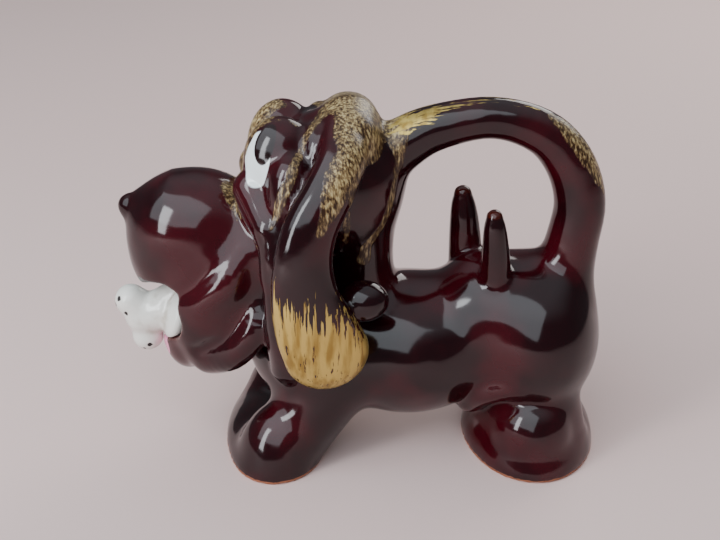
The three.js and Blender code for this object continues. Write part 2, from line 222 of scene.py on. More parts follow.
# The eye lies in a plane of its own. An oval on it is its middle, its half extents and its turn.
EYE_CENTRE = np.array((-44, 19, 147))
EYE_ACROSS = np.array((0.74, 0.68, 0))
EYE_UP = np.array((0.04, -0.25, 0.97))
EYE_REACH = 19
EYE_WHITE = ((2.2, -1.3), (6.6, 12.0), 0.12)
PUPIL = ((4.8, 5.2), (4.2, 8.6), 0.12)
TONGUE = ((-91.5, 0, 52), (8, 16.5, 8.5))
BONE_CHIPS = [
    (-110, 5, 73, 1.3),
    (-112, 3, 69, 1.1),
    (-107, 7, 66, 1.2),
    (-97, 7, 50, 1.2),
    (-100, 6, 47, 1.1),
]

# Grids for meshing, in millimetres. The dog's starts some cells under the table.
DOG_GRID_LOW = (-110, -60)
DOG_GRID_HIGH = (117, 60, 172)
CELLS_UNDER_TABLE = 3
BONE_GRID = ((-116, -21, 40), (-66, 21, 88))
FEWEST_DOG_FACETS = 1000
FEWEST_BONE_FACETS = 200
# How meshing goes, in grid cells.
COARSE_STEP = 4  # cells of the fine grid to one of the coarse grid
NEAR_BAND = 1.5  # half the width of the band at the surface, in coarse cells
JUST_INSIDE = 0.01
LONGEST_MOVE = 0.4
SETTLE_ROUNDS = 20
EVEN_ROUNDS = 2
# How far from a vertex its slope and its ridge are measured, in millimetres, and the sharpest ridge.
SLOPE_REACH = 0.1
DOG_RIDGE_REACH = 1.2
BONE_RIDGE_REACH = 1.0
SHARPEST_RIDGE = 0.6
# Both keep a division by zero away.
TINY = 1e-6
TINIER = 1e-9

# The stage, in metres and watts. The room's light goes from dim at eye level to bright overhead.
TABLE_WIDTH = 6.0
SENSOR_WIDTH = 36  # millimetres, as the camera takes it
AIM_HEIGHT = 0.085
ROOM_COLOUR = "#EEF7FF"
ROOM_DIM = 0.14
ROOM_BRIGHT = 0.75
LAMPS = (
    {
        "name": "sky",
        "at": (-0.55, -0.7, 0.95),
        "aim": (0, 0, 0.06),
        "width": 2.1,
        "height": 1.25,
        "watts": 19,
        "colour": "#ECF7FF",
    },
    {
        "name": "strip",
        "at": (-0.74, -0.62, 0.5),
        "aim": (0, 0, 0.08),
        "width": 0.25,
        "height": 0.75,
        "watts": 7,
        "colour": "#F7FBFF",
    },
    {
        "name": "back",
        "at": (0.7, 0.9, 0.7),
        "aim": (0, 0, 0.06),
        "width": 0.9,
        "height": 0.6,
        "watts": 7,
        "colour": "#FFFBF7",
    },
)


class HoundSizes(bpy.types.PropertyGroup):
    """How finely the jug is modelled"""

    body_cell: bpy.props.FloatProperty(
        name="Body facet",
        description="Width of a facet of the dog",
        default=1.45 * MM,
        min=1.1 * MM,
        unit="LENGTH",
    )
    bone_cell: bpy.props.FloatProperty(
        name="Bone facet",
        description="Width of a facet of the bone",
        default=0.85 * MM,
        min=0.5 * MM,
        unit="LENGTH",
    )


class HoundColours(bpy.types.PropertyGroup):
    """The colours of the glazes and paints, as sRGB hex values"""

    glaze: bpy.props.StringProperty(
        name="Glaze", description="Glaze where it lies thick", default="#1B0307"
    )
    glaze_red: bpy.props.StringProperty(
        name="Red glaze", description="Glaze of middling depth", default="#39060F"
    )
    glaze_thin: bpy.props.StringProperty(
        name="Thin glaze", description="Glaze on edges", default="#5E200F"
    )
    foam: bpy.props.StringProperty(name="Foam", description="Foam glaze", default="#7A6240")
    foam_light: bpy.props.StringProperty(
        name="Light foam", description="Milky part of the foam", default="#BCA878"
    )
    foam_fleck: bpy.props.StringProperty(
        name="Foam flecks", description="Flecks in the foam", default="#301A0B"
    )
    gold: bpy.props.StringProperty(name="Gold", description="Brushed gold paint", default="#CDB365")
    gold_worn: bpy.props.StringProperty(
        name="Thin gold", description="Gold where it is rubbed", default="#9C7F3E"
    )
    white: bpy.props.StringProperty(name="Eye white", description="Paint of the eye", default="#E9F2F2")
    pupil: bpy.props.StringProperty(name="Pupil", description="Paint of the pupil", default="#1A0708")
    tongue: bpy.props.StringProperty(
        name="Tongue", description="Paint of the tongue", default="#E58FB0"
    )
    clay: bpy.props.StringProperty(
        name="Clay", description="Bare clay under the paws", default="#A5694C"
    )
    bone: bpy.props.StringProperty(
        name="Bone", description="White glaze of the bone", default="#E6E4DC"
    )
    # Painted shade: this colour is mixed in where the bone curves inwards, together with random blotches.
    bone_blotch_and_painted_shade: bpy.props.StringProperty(
        name="Bone stain", description="Stain in the glaze", default="#B9AFA0"
    )
    chip: bpy.props.StringProperty(name="Chip", description="Dark pits in the bone", default="#1A1412")


class StageSettings(bpy.types.PropertyGroup):
    """The table, the light and the camera"""

    floor: bpy.props.StringProperty(name="Floor", description="Colour of the table", default="#E4C8C3")
    focal: bpy.props.FloatProperty(
        name="Focal length", description="Of the camera, on a 36 mm sensor", default=62.0, unit="CAMERA"
    )
    elevation: bpy.props.FloatProperty(
        name="Elevation",
        description="How far the camera looks down",
        default=math.radians(25.5),
        subtype="ANGLE",
    )
    distance: bpy.props.FloatProperty(
        name="Distance", description="From the camera to the dog", default=0.564, unit="LENGTH"
    )


# Distance fields. p is (x, s, z), three arrays. A blend is the width of the fillet between two shapes.
def egg(p, centre, half, lean=0):
    """A lump. lean turns the end of its first axis towards z."""
    x, s, z = [p[i] - centre[i] for i in range(3)]
    turned = (x * math.cos(lean) + z * math.sin(lean), s, z * math.cos(lean) - x * math.sin(lean))
    q = [turned[i] / half[i] for i in range(3)]
    scaled = np.sqrt(q[0] ** 2 + q[1] ** 2 + q[2] ** 2) + TINY
    slope = np.sqrt(sum((q[i] / half[i]) ** 2 for i in range(3))) + TINIER
    return scaled * (scaled - 1) / slope


def limb(p, start, end, r0, r1):
    """A rod with round ends, of radius r0 at its start and r1 at its end."""
    d = np.subtract(end, start)
    t = np.clip(sum((p[i] - start[i]) * d[i] for i in range(3)) / (d @ d), 0, 1)
    return np.sqrt(sum((p[i] - start[i] - t * d[i]) ** 2 for i in range(3))) - (r0 + (r1 - r0) * t)


def join(a, b, blend):
    """Both shapes in one, with a fillet between them."""
    h = np.maximum(blend - np.abs(a - b), 0) / blend
    return np.minimum(a, b) - h * h * h * blend / 6


def carve(a, b, blend):
    """Shape a without what shape b takes out of it, with rounded edges."""
    return -join(-a, b, blend)


def smooth_rows(rows, steps):
    """Rows between the given ones, by a Catmull-Rom spline in every column."""
    rows = np.asarray(rows, float)
    ends = np.vstack([2 * rows[0] - rows[1], rows, 2 * rows[-1] - rows[-2]])
    out = []
    for a, b, c, d in zip(ends, ends[1:], ends[2:], ends[3:]):
        for t in np.arange(steps) / steps:
            bend = (c - a) * t + (2 * a - 5 * b + 4 * c - d) * t**2 + (3 * (b - c) + d - a) * t**3
            out.append(b + bend / 2)
    return np.array(out + [rows[-1]])


def strand(p, rows, steps=5):
    """A round tube along the rows, with steps pieces from each row to the next."""
    rows = smooth_rows(rows, steps)
    pieces = (limb(p, a[:3], b[:3], a[3], b[3]) for a, b in zip(rows, rows[1:]))
    return np.minimum.reduce(list(pieces))


def strap(p, rows, thin_way, steps=5):
    """A flattened tube along the rows, thin roughly along thin_way."""
    rows = smooth_rows(rows, steps)
    tangents = np.gradient(rows[:, :3], axis=0)
    tangents /= np.linalg.norm(tangents, axis=1, keepdims=True)
    best = np.full(p[0].shape, np.inf)
    along = np.zeros(p[0].shape)
    for i, (a, b) in enumerate(zip(rows[:, :3], rows[1:, :3])):
        d = b - a
        t = np.clip(sum((p[k] - a[k]) * d[k] for k in range(3)) / (d @ d), 0, 1)
        away = sum((p[k] - a[k] - t * d[k]) ** 2 for k in range(3))
        nearer = away < best
        best = np.where(nearer, away, best)
        along = np.where(nearer, i + t, along)
    index = np.arange(len(rows))
    row = [np.interp(along, index, rows[:, k]) for k in range(5)]
    tangent = [np.interp(along, index, tangents[:, k]) for k in range(3)]
    lean = sum(thin_way[k] * tangent[k] for k in range(3))
    normal = [thin_way[k] - lean * tangent[k] for k in range(3)]
    length = np.sqrt(sum(n * n for n in normal))
    offset = [p[k] - row[k] for k in range(3)]
    across = sum(offset[k] * normal[k] for k in range(3)) / length
    rest = np.maximum(sum(q * q for q in offset) - across**2, 0)
    width, thickness = row[3], row[4]
    scaled = np.sqrt(rest / width**2 + across**2 / thickness**2) + TINY
    return scaled * (scaled - 1) / (np.sqrt(rest / width**4 + across**2 / thickness**4) + TINIER)


def trunk(p):
    d = join(egg(p, *CHEST), egg(p, *BARREL), blend=14)
    d = join(d, egg(p, *LOIN), blend=14)
    return join(d, egg(p, *HAUNCH), blend=16)


def head(p):
    d = join(egg(p, *SKULL), egg(p, *EYE_DOME), blend=6)
    d = join(d, egg(p, *BROW), blend=4)
    d = join(d, egg(p, *TEMPLE), blend=6)
    d = join(d, limb(p, *CHEEK), blend=8)
    d = join(d, limb(p, *BAG_UNDER_EYE), blend=4)
    return join(d, limb(p, *CROWN), blend=6)


def muzzle(p):
    d = join(egg(p, *BRIDGE), egg(p, *SNOUT), blend=6)
    d = join(d, limb(p, *NOSE), blend=9)
    d = join(d, egg(p, *JOWL), blend=8)
    d = join(d, egg(p, *CHIN), blend=5)
    d = join(d, limb(p, *THROAT), blend=10)
    d = join(d, egg(p, *JAW), blend=8)
    d = join(d, strand(p, CHEEK_ROLL), blend=6)
    d = carve(d, limb(p, *MOUTH_NOTCH), blend=3)
    d = carve(d, strand(p, LIP_FOLD), blend=6)
    d = carve(d, strand(p, JOWL_FOLD), blend=6)
    d = join(d, strand(p, LIP_ROLL), blend=8)
    return join(d, strand(p, JOWL_ROLL), blend=8)


def finger(p, x, half_width, tip):
    """A flat finger that tapers from the back of the dog to its tip."""
    rows = [
        (x + 1, 14, 86, half_width * 1.1, 6.5),
        (x, 14.5, 102, half_width * 0.95, 5.8),
        (x - 0.8, 15, tip - 9, half_width * 0.78, 4.9),
        (x - 1.2, 15, tip - 3.8, half_width * 0.58, 3.9),
    ]
    return strap(p, rows, thin_way=(0.1, 1, 0), steps=3)


def front_leg(p):
    feet = join(egg(p, *FRONT_FEET), egg(p, *FRONT_PAW), blend=8)
    return join(limb(p, *FRONT_LEG), feet, blend=8)


def hind_leg(p):
    feet = join(egg(p, *HIND_FEET), limb(p, *HIND_PAW), blend=8)
    return join(limb(p, *HIND_LEG), feet, blend=4)


def ear(p):
    return strap(p, EAR, thin_way=(0.15, 1, 0))


def whole_dog(p):
    """The outside of the dog, with no spout. p is (x, y, z)."""
    q = (p[0], np.abs(p[1]), p[2])
    d = join(trunk(q), limb(q, *NECK), blend=12)
    d = join(d, strap(q, TAIL, thin_way=(0, 1, 0)), blend=12)
    d = join(d, head(q), blend=8)
    d = join(d, muzzle(q), blend=5)
    d = join(d, front_leg(q), blend=10)
    d = join(d, hind_leg(q), blend=5)
    d = carve(d, strand(q, PAW_GROOVE), blend=4)
    d = join(d, strand(q, PAW_LEDGE), blend=6)
    fingers = np.where(p[1] < 0, finger(q, *NEAR_FINGER), finger(q, *FAR_FINGER))
    d = join(d, fingers, blend=4)
    d = join(d, egg(q, *EAR_KNOB), blend=4)
    d = join(d, ear(q), blend=2)
    return np.maximum(d, -p[2])


def along_spout(p, radius, start, end):
    """A rod along the spout's axis, from start to end."""
    offset = [p[k] - SPOUT_MOUTH[k] for k in range(3)]
    along = sum(offset[k] * SPOUT_WAY[k] for k in range(3))
    out = np.sqrt(np.maximum(sum(q * q for q in offset) - along**2, 0)) - radius
    return np.maximum(out, np.maximum(start - along, along - end))


def dog(p):
    """The dog with its spout."""
    return carve(whole_dog(p), along_spout(p, SPOUT_RADIUS, SPOUT_START, SPOUT_DEPTH), blend=1)


def bone(p):
    """The stopper: two knobs and a stub, a flange that fits the lips, and a shank in the spout."""
    q = (p[0], np.abs(p[1]), p[2])
    d = join(limb(q, *BONE_UPPER_KNOB), egg(q, *BONE_LOWER_KNOB), blend=1)
    d = join(d, limb(q, *BONE_STUB), blend=5)
    d = join(d, egg(q, *BONE_COLLAR), blend=4)
    d = carve(d, whole_dog(p) - SEAT_GAP, blend=0.8)
    return join(d, along_spout(p, SHANK_RADIUS, SHANK_START, SHANK_LENGTH), blend=1)


# Meshing: one vertex in each grid cell that the surface crosses, moved onto the surface, and one quad
# across each grid edge that it crosses.
def grid_values(field, low, high, cell):
    """The field on a grid. Only near the surface is it worked out at every point."""
    step = COARSE_STEP
    count = [int(math.ceil((b - a) / (cell * step))) * step + 1 for a, b in zip(low, high)]
    axes = [a + cell * np.arange(n) for a, n in zip(low, count)]
    value = field(np.meshgrid(*[axis[::step] for axis in axes], indexing="ij"))
    for k in range(3):
        at = np.arange(count[k]) / step
        lower = np.minimum(at.astype(int), value.shape[k] - 2)
        share = (at - lower).reshape([-1 if i == k else 1 for i in range(3)])
        value = value.take(lower, k) * (1 - share) + value.take(lower + 1, k) * share
    near = np.abs(value) < NEAR_BAND * step * cell
    i, j, k = np.nonzero(near)
    value[near] = field((axes[0][i], axes[1][j], axes[2][k]))
    return value


def settle(value, cell):
    """Where the corners of a grid square alternate, the outer two are taken inside."""
    for _ in range(SETTLE_ROUNDS):
        inside = value < 0
        changed = False
        for a, b in ((0, 1), (1, 2), (0, 2)):
            corner = [[slice(None)] * 3 for _ in range(4)]
            for n, (u, v) in enumerate(((0, 0), (1, 0), (1, 1), (0, 1))):
                corner[n][a] = slice(1, None) if u else slice(None, -1)
                corner[n][b] = slice(1, None) if v else slice(None, -1)
                corner[n] = tuple(corner[n])
            c = [inside[k] for k in corner]
            twisted = (c[0] == c[2]) & (c[1] == c[3]) & (c[0] != c[1])
            if twisted.any():
                changed = True
                for k in corner:
                    part = value[k]
                    part[twisted & (part >= 0)] = -JUST_INSIDE * cell
        if not changed:
            return


def cell_vertices(value, low, cell):
    """A vertex for each cell that the surface crosses, and the number of each cell's vertex."""
    shape = [n - 1 for n in value.shape]
    total = np.zeros([3] + shape)
    crossings = np.zeros(shape)
    for a in range(3):
        b, c = [k for k in range(3) if k != a]
        first = value.take(np.arange(shape[a]), a)
        second = value.take(np.arange(1, shape[a] + 1), a)
        crossed = (first < 0) != (second < 0)
        t = np.where(crossed, first / np.where(crossed, first - second, 1), 0)
        for u in (0, 1):
            for v in (0, 1):
                part = [slice(None)] * 3
                part[b] = slice(u, shape[b] + u)
                part[c] = slice(v, shape[c] + v)
                here = crossed[tuple(part)]
                crossings += here
                total[a] += t[tuple(part)]
                total[b] += here * u
                total[c] += here * v
    used = crossings > 0
    number = np.full(shape, -1)
    number[used] = np.arange(used.sum())
    index = np.nonzero(used)
    places = [low[k] + cell * (index[k] + total[k][used] / crossings[used]) for k in range(3)]
    return np.array(places), number


def quads_across_edges(value, number):
    """A quad that faces outwards for each grid edge that the surface crosses."""
    quads = []
    for a in range(3):
        b, c = (a + 1) % 3, (a + 2) % 3
        inner = [slice(1, -1)] * 3
        inner[a] = slice(None, -1)
        ahead = list(inner)
        ahead[a] = slice(1, None)
        inside = value[tuple(inner)] < 0
        crossed = np.array(np.nonzero(inside != (value[tuple(ahead)] < 0)))
        inward = inside[tuple(crossed)]
        crossed[b] += 1
        crossed[c] += 1
        corners = []
        for u, v in ((1, 1), (0, 1), (0, 0), (1, 0)):
            at = crossed.copy()
            at[b] -= u
            at[c] -= v
            corners.append(number[tuple(at)])
        quad = np.array(corners).T
        quads.append(np.where(inward[:, None], quad, quad[:, ::-1]))
    return np.concatenate(quads)


def largest_part(places, quads):
    """Leaves out the tiny pockets that close off inside, where several shapes almost meet."""
    part = np.arange(places.shape[1])
    while True:
        lowest = np.repeat(part[quads].min(axis=1), 4)
        lower = part.copy()
        np.minimum.at(lower, quads.ravel(), lowest)
        np.minimum.at(lower, part[quads].ravel(), lowest)
        lower = lower[lower]
        if (lower == part).all():
            break
        part = lower
    kept = part == np.bincount(part).argmax()
    number = np.cumsum(kept) - 1
    return places[:, kept], number[quads[kept[quads[:, 0]]]]


def slopes(field, places, reach):
    """The field, its gradient and its Laplacian at the places."""
    middle = field(places)
    gradient = np.zeros_like(places)
    total = -6 * middle
    for k in range(3):
        step = np.zeros((3, 1))
        step[k] = reach
        ahead, behind = field(places + step), field(places - step)
        gradient[k] = (ahead - behind) / (2 * reach)
        total += ahead + behind
    return middle, gradient, total / reach**2


def onto_surface(field, places, cell, rounds):
    """Moves the places along the gradient to where the field is nought."""
    longest = LONGEST_MOVE * cell
    for _ in range(rounds):
        middle, gradient, _ = slopes(field, places, SLOPE_REACH)
        steep = np.sqrt((gradient**2).sum(0)) + TINY
        places = places - gradient / steep * np.clip(middle / steep, -longest, longest)
    return places


def even_out(field, places, quads, cell):
    """Draws each vertex towards the middle of its neighbours, along the surface."""
    total = np.zeros_like(places)
    count = np.zeros(places.shape[1])
    for k in range(4):
        for other in (quads[:, (k + 1) % 4], quads[:, (k + 3) % 4]):
            count += np.bincount(quads[:, k], minlength=len(count))
            for a in range(3):
                total[a] += np.bincount(quads[:, k], places[a][other], len(count))
    pull = total / np.maximum(count, 1) - places
    _, gradient, _ = slopes(field, places, SLOPE_REACH)
    normal = gradient / (np.sqrt((gradient**2).sum(0)) + TINY)
    pull -= normal * (pull * normal).sum(0)
    return onto_surface(field, places + 0.5 * pull, cell, rounds=1)


def skin(field, low, high, cell):
    """The surface of the field between two corners of a box, as places and quads."""
    value = grid_values(field, low, high, cell)
    settle(value, cell)
    places, number = cell_vertices(value, low, cell)
    places, quads = largest_part(places, quads_across_edges(value, number))
    places = onto_surface(field, places, cell, rounds=2)
    for _ in range(EVEN_ROUNDS):
        places = even_out(field, places, quads, cell)
    return places, quads


def mesh_object(name, places, quads, attributes):
    """A smooth mesh in metres, with one number at each vertex for each attribute."""
    mesh = bpy.data.meshes.new(name)
    at = (places.T - (MIDDLE, 0, 0)) * MM
    mesh.from_pydata(at.tolist(), [], quads.tolist())
    for key, values in attributes.items():
        layer = mesh.attributes.new(key, "FLOAT", "POINT")
        layer.data.foreach_set("value", np.asarray(values, np.float32))
    mesh.polygons.foreach_set("use_smooth", np.ones(len(mesh.polygons), bool))
    mesh.validate()
    mesh.update()
    made = bpy.data.objects.new(name, mesh)
    bpy.context.scene.collection.objects.link(made)
    return made


# Paint. Each is a distance in millimetres from the edge of the painted place, negative inside it.
def foam_paint(q):
    runs = [strand(q, rows, steps=4) for rows in FOAM_RUNS]
    return np.minimum(np.minimum.reduce(runs), strand(q, TAIL_FOAM, steps=4))


def ear_gold(q):
    edge = np.interp(q[0], GOLD_EDGE_X, GOLD_EDGE_HEIGHT)
    off_ear = np.maximum(ear(q) - GOLD_OVERLAP, GOLD_INNER_SIDE - q[1])
    return q[2] - edge + GOLD_CUT * np.maximum(off_ear, 0)


def on_eye(q, middle, half, turn):
    """An oval in the eye's plane, on the part of the head within the eye's reach."""
    offset = [q[k] - EYE_CENTRE[k] for k in range(3)]
    across = sum(offset[k] * EYE_ACROSS[k] for k in range(3)) - middle[0]
    up = sum(offset[k] * EYE_UP[k] for k in range(3)) - middle[1]
    u = across * math.cos(turn) + up * math.sin(turn)
    v = up * math.cos(turn) - across * math.sin(turn)
    oval = (np.sqrt((u / half[0]) ** 2 + (v / half[1]) ** 2) - 1) * min(half)
    return np.maximum(oval, np.sqrt(sum(k * k for k in offset)) - EYE_REACH)


def paint(places, ridge):
    """The attributes that the glaze reads: ridge is above nought on an edge and below it in a hollow."""
    q = (places[0], np.abs(places[1]), places[2])
    return {
        "ridge": np.clip(ridge, -SHARPEST_RIDGE, SHARPEST_RIDGE),
        "foam": foam_paint(q),
        "ear_gold": ear_gold(q),
        "tail_gold": strand(q, TAIL_GOLD, steps=4),
        "eye_white": on_eye(q, *EYE_WHITE),
        "pupil": on_eye(q, *PUPIL),
        "tongue": egg(q, *TONGUE),
        "height": places[2],
    }


# Materials. A noise's scale is one over the width of its features in metres. A Map Range node takes a
# value in input 0, turns the one in input 1 to 0 and the one in input 2 to 1, or to what inputs 3 and 4
# say. A Multiply Add node gives input 0 times input 1, plus input 2.
EASED = {"interpolation_type": "SMOOTHSTEP"}
TIMES_PLUS = {"operation": "MULTIPLY_ADD"}
IN_COLOUR = {"data_type": "RGBA"}
MIXED = 2  # the output of a Mix node that holds the mixed colour

GLAZE_IOR = 1.5
GLAZE_ROUGHNESS = 0.11
FOAM_ROUGHER = 0.2
GOLD_ROUGHER = 0.26
CLAY_ROUGHER = 0.8
GOLD_METALLIC = 0.75
WAVE_HEIGHT = 0.0011  # metres, as the next height is
CURDS_TO_WAVES = 0.16
BONE_IOR = 1.52
BONE_ROUGHNESS = 0.12
PIT_ROUGHER = 0.5
BONE_WAVE_HEIGHT = 0.0002
PITS_TO_WAVES = -0.8
BOARD_ROUGHNESS = 0.85


def linear(colour):
    """An sRGB hex colour as linear red, green, blue and alpha."""
    parts = [int(colour[i : i + 2], 16) / 255 for i in (1, 3, 5)]
    return [c / 12.92 if c <= 0.04045 else ((c + 0.055) / 1.055) ** 2.4 for c in parts] + [1]


def add(tree, kind, inputs=None, **settings):
    """Adds a node. An input that is given a socket is linked to it, and any other is set."""
    made = tree.nodes.new(kind)
    for key, value in settings.items():
        setattr(made, key, value)
    for key, value in (inputs or {}).items():
        if isinstance(value, bpy.types.NodeSocket):
            tree.links.new(value, made.inputs[key])
        else:
            made.inputs[key].default_value = value
    return made


def new_material(name):
    material = bpy.data.materials.new(name)
    material.use_nodes = True
    tree = material.node_tree
    tree.nodes.clear()
    return material, tree


def brown_glaze(colours):
    """Lead-brown glaze on slip-cast earthenware, dipped and fired: a deep, wet gloss that is nearly black
    where it pools and amber where it runs thin over an edge. Foam glaze, gold and enamel lie on it."""
    material, tree = new_material("dipped_brown_glaze")
    place = add(tree, "ShaderNodeTexCoord").outputs["Object"]
    marks = {
        key: add(tree, "ShaderNodeAttribute", attribute_name=key).outputs["Fac"]
        for key in ("ridge", "foam", "ear_gold", "tail_gold", "eye_white", "pupil", "tongue", "height")
    }

    # Clouds in the glaze are about 35 mm wide.
    clouds = add(tree, "ShaderNodeTexNoise", {"Vector": place, "Scale": 28, "Detail": 3}).outputs["Fac"]
    red = add(tree, "ShaderNodeMapRange", {0: clouds, 1: 0.4, 2: 0.65}, **EASED).outputs[0]
    depth = add(
        tree,
        "ShaderNodeMix",
        {"Factor": red, "A": linear(colours.glaze), "B": linear(colours.glaze_red)},
        **IN_COLOUR,
    ).outputs[MIXED]
    worn = add(tree, "ShaderNodeMath", {0: clouds, 1: 0.25, 2: marks["ridge"]}, **TIMES_PLUS).outputs[0]
    edge = add(tree, "ShaderNodeMapRange", {0: worn, 1: 0.42, 2: 0.95}, **EASED).outputs[0]
    colour = add(
        tree, "ShaderNodeMix", {"Factor": edge, "A": depth, "B": linear(colours.glaze_thin)}, **IN_COLOUR
    ).outputs[MIXED]

    # Bubbles and curds of the foam glaze are 1 to 2 mm wide, drawn out downwards as it ran. The edge of a
    # run wanders by up to 1.6 mm over about 4 mm.
    stretch = add(tree, "ShaderNodeMapping", {"Vector": place, "Scale": (1, 1, 0.28)}).outputs[0]
    curds = add(
        tree, "ShaderNodeTexNoise", {"Vector": stretch, "Scale": 900, "Detail": 4, "Roughness": 0.6}
    ).outputs["Fac"]
    ragged = add(tree, "ShaderNodeTexNoise", {"Vector": stretch, "Scale": 260, "Detail": 3}).outputs["Fac"]
    shift = add(tree, "ShaderNodeMath", {0: ragged, 1: 3.2, 2: -1.6}, **TIMES_PLUS).outputs[0]
    rim = add(tree, "ShaderNodeMath", {0: marks["foam"], 1: shift}, operation="ADD").outputs[0]
    foam_mask = add(tree, "ShaderNodeMapRange", {0: rim, 1: 0.45, 2: -0.35}, **EASED).outputs[0]
    body = add(tree, "ShaderNodeMapRange", {0: rim, 1: 0.2, 2: -4.5}).outputs[0]
    milky = add(tree, "ShaderNodeMath", {0: body, 1: 0.1, 2: curds}, **TIMES_PLUS).outputs[0]
    flecks = add(tree, "ShaderNodeMapRange", {0: milky, 1: 0.47, 2: 0.6}, **EASED).outputs[0]
    beige = add(
        tree,
        "ShaderNodeMix",
        {"Factor": flecks, "A": linear(colours.foam_fleck), "B": linear(colours.foam)},
        **IN_COLOUR,
    ).outputs[MIXED]
    tops = add(tree, "ShaderNodeMapRange", {0: milky, 1: 0.57, 2: 0.74}, **EASED).outputs[0]
    foam = add(
        tree, "ShaderNodeMix", {"Factor": tops, "A": beige, "B": linear(colours.foam_light)}, **IN_COLOUR
    ).outputs[MIXED]
    colour = add(
        tree, "ShaderNodeMix", {"Factor": foam_mask, "A": colour, "B": foam}, **IN_COLOUR
    ).outputs[MIXED]

    # The gold was brushed on down the ear and along the tail. A bristle's streak is about 1.5 mm wide.
    # The strokes run dry over about 15 mm at the ear and 4 mm at the tail. The paint is scratched through
    # along the streaks and rubbed thin in patches about 4 mm wide.
    strokes = []
    for mark, way, dryness in (("ear_gold", (1, 1, 0.05), 75), ("tail_gold", (0.06, 1, 0.5), 20)):
        brushed = add(tree, "ShaderNodeMapping", {"Vector": place, "Scale": way}).outputs[0]
        streaks = add(
            tree, "ShaderNodeTexNoise", {"Vector": brushed, "Scale": 700, "Detail": 3, "Roughness": 0.6}
        ).outputs["Fac"]
        dry = add(
            tree, "ShaderNodeMath", {0: streaks, 1: dryness, 2: -0.5 * dryness}, **TIMES_PLUS
        ).outputs[0]
        solid = add(tree, "ShaderNodeMapRange", {0: marks[mark], 1: 0, 2: -14, 3: 1, 4: 0.35}).outputs[0]
        reach = add(tree, "ShaderNodeMath", {0: dry, 1: solid, 2: marks[mark]}, **TIMES_PLUS).outputs[0]
        stroke = add(tree, "ShaderNodeMapRange", {0: reach, 1: 0.5, 2: -1}, **EASED).outputs[0]
        scratch = add(tree, "ShaderNodeMapRange", {0: streaks, 1: 0.66, 2: 0.61}, **EASED).outputs[0]
        strokes.append(add(tree, "ShaderNodeMath", {0: stroke, 1: scratch}, operation="MULTIPLY").outputs[0])
    gold_mask = add(tree, "ShaderNodeMath", {0: strokes[0], 1: strokes[1]}, operation="MAXIMUM").outputs[0]
    along = add(tree, "ShaderNodeMapping", {"Vector": place, "Scale": (1, 1, 0.15)}).outputs[0]
    rubbed = add(tree, "ShaderNodeTexNoise", {"Vector": along, "Scale": 260, "Detail": 4}).outputs["Fac"]
    thin = add(tree, "ShaderNodeMapRange", {0: rubbed, 1: 0.42, 2: 0.68}, **EASED).outputs[0]
    gold = add(
        tree,
        "ShaderNodeMix",
        {"Factor": thin, "A": linear(colours.gold), "B": linear(colours.gold_worn)},
        **IN_COLOUR,
    ).outputs[MIXED]
    colour = add(
        tree, "ShaderNodeMix", {"Factor": gold_mask, "A": colour, "B": gold}, **IN_COLOUR
    ).outputs[MIXED]

    # The eye's enamel ends in a line about half a millimetre wide and lies under the foam that ran over it.
    no_foam = add(tree, "ShaderNodeMath", {0: 1.0, 1: foam_mask}, operation="SUBTRACT").outputs[0]
    for mark, soft, enamel in (("eye_white", 0.25, colours.white), ("pupil", 0.2, colours.pupil)):
        oval = add(tree, "ShaderNodeMapRange", {0: marks[mark], 1: soft, 2: -soft}, **EASED).outputs[0]
        bare = add(tree, "ShaderNodeMath", {0: oval, 1: no_foam}, operation="MULTIPLY").outputs[0]
        colour = add(
            tree, "ShaderNodeMix", {"Factor": bare, "A": colour, "B": linear(enamel)}, **IN_COLOUR
        ).outputs[MIXED]
    tongue_mask = add(tree, "ShaderNodeMapRange", {0: marks["tongue"], 1: 0.3, 2: -0.3}, **EASED).outputs[0]
    colour = add(
        tree,
        "ShaderNodeMix",
        {"Factor": tongue_mask, "A": colour, "B": linear(colours.tongue)},
        **IN_COLOUR,
    ).outputs[MIXED]

    # The foot rims were wiped clean of glaze for firing, up to about 1.5 mm.
    wiped = add(tree, "ShaderNodeTexNoise", {"Vector": place, "Scale": 150, "Detail": 2}).outputs["Fac"]
    line = add(tree, "ShaderNodeMath", {0: wiped, 1: -1.6, 2: marks["height"]}, **TIMES_PLUS).outputs[0]
    clay_mask = add(tree, "ShaderNodeMapRange", {0: line, 1: 0.9, 2: 0.5}, **EASED).outputs[0]
    colour = add(
        tree, "ShaderNodeMix", {"Factor": clay_mask, "A": colour, "B": linear(colours.clay)}, **IN_COLOUR
    ).outputs[MIXED]

    gloss = GLAZE_ROUGHNESS
    for mask, rougher in ((foam_mask, FOAM_ROUGHER), (gold_mask, GOLD_ROUGHER), (clay_mask, CLAY_ROUGHER)):
        gloss = add(tree, "ShaderNodeMath", {0: mask, 1: rougher, 2: gloss}, **TIMES_PLUS).outputs[0]
    metal = add(tree, "ShaderNodeMath", {0: gold_mask, 1: GOLD_METALLIC}, operation="MULTIPLY").outputs[0]

    # A dipped glaze lies in faint waves about 20 mm long, and the foam stands up in small curds.
    waves = add(tree, "ShaderNodeTexNoise", {"Vector": place, "Scale": 50, "Detail": 1}).outputs["Fac"]
    raised = add(tree, "ShaderNodeMath", {0: curds, 1: foam_mask}, operation="MULTIPLY").outputs[0]
    relief = add(tree, "ShaderNodeMath", {0: raised, 1: CURDS_TO_WAVES, 2: waves}, **TIMES_PLUS).outputs[0]
    bump = add(
        tree, "ShaderNodeBump", {"Strength": 1.0, "Distance": WAVE_HEIGHT, "Height": relief}
    ).outputs[0]
    surface = add(
        tree,
        "ShaderNodeBsdfPrincipled",
        {"Base Color": colour, "Roughness": gloss, "Metallic": metal, "IOR": GLAZE_IOR, "Normal": bump},
    )
    add(tree, "ShaderNodeOutputMaterial", {"Surface": surface.outputs[0]})
    return material


